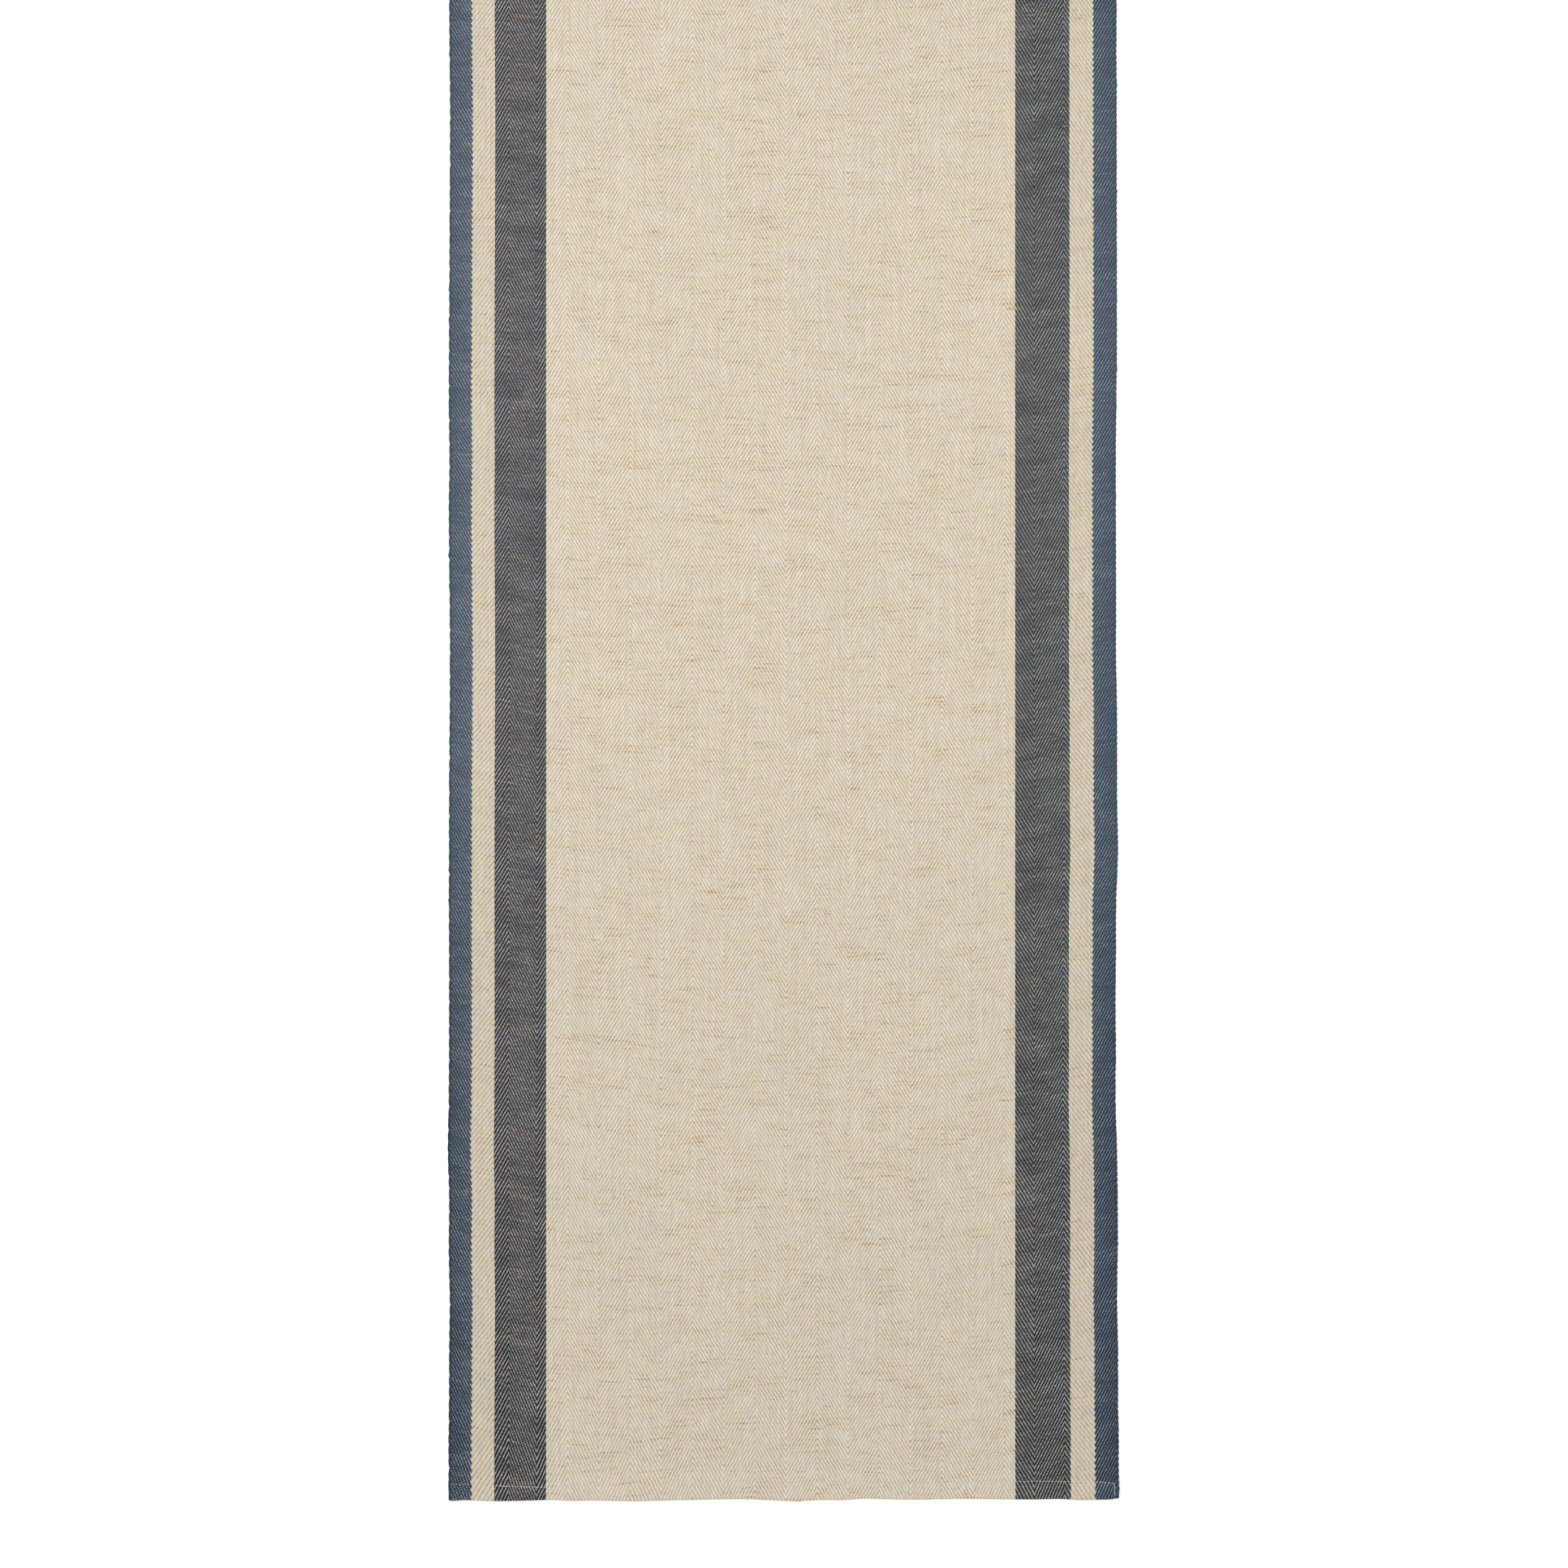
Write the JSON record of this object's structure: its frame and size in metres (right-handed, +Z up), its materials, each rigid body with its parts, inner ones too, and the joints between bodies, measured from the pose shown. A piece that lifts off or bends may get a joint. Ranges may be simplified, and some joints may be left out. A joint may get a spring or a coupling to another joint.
{
  "type": "table runner",
  "caption": "Long woven herringbone table runner with navy, cream and charcoal side bands and a turned, stitched hem at each end, lying flat.",
  "frame": {"origin": "on the table, under the middle of the runner", "axes": "+X across the runner from left to right, +Y along it from the near hem to the far hem, +Z up out of the cloth's face"},
  "size_m": [0.4, 1.5, 0.0025],
  "materials": {
    "natural_cloth": "matte herringbone weave, off-white warp and beige linen weft",
    "charcoal_cloth": "matte herringbone weave, charcoal warp and beige linen weft",
    "cream_cloth": "matte twill weave, cream warp and beige linen weft",
    "navy_cloth": "matte twill weave, navy warp and beige linen weft",
    "seam_thread": "soft sheen on twisted cotton thread"
  },
  "bodies": {
    "root": {"selvedge_left": "navy_cloth", "border_left": "navy_cloth", "cream_band_left": "cream_cloth", "inner_stripe_left": "charcoal_cloth", "centre_field": "natural_cloth", "inner_stripe_right": "charcoal_cloth", "cream_band_right": "cream_cloth", "border_right": "navy_cloth", "selvedge_right": "navy_cloth", "selvedge_left_hem_near": "navy_cloth", "border_left_hem_near": "navy_cloth", "cream_band_left_hem_near": "cream_cloth", "inner_stripe_left_hem_near": "charcoal_cloth", "centre_field_hem_near": "natural_cloth", "inner_stripe_right_hem_near": "charcoal_cloth", "cream_band_right_hem_near": "cream_cloth", "border_right_hem_near": "navy_cloth", "selvedge_right_hem_near": "navy_cloth", "selvedge_left_hem_far": "navy_cloth", "border_left_hem_far": "navy_cloth", "cream_band_left_hem_far": "cream_cloth", "inner_stripe_left_hem_far": "charcoal_cloth", "centre_field_hem_far": "natural_cloth", "inner_stripe_right_hem_far": "charcoal_cloth", "cream_band_right_hem_far": "cream_cloth", "border_right_hem_far": "navy_cloth", "selvedge_right_hem_far": "navy_cloth", "needle_thread_near": "seam_thread", "bobbin_thread_near": "seam_thread", "needle_thread_far": "seam_thread", "bobbin_thread_far": "seam_thread"}
  },
  "joints": []
}
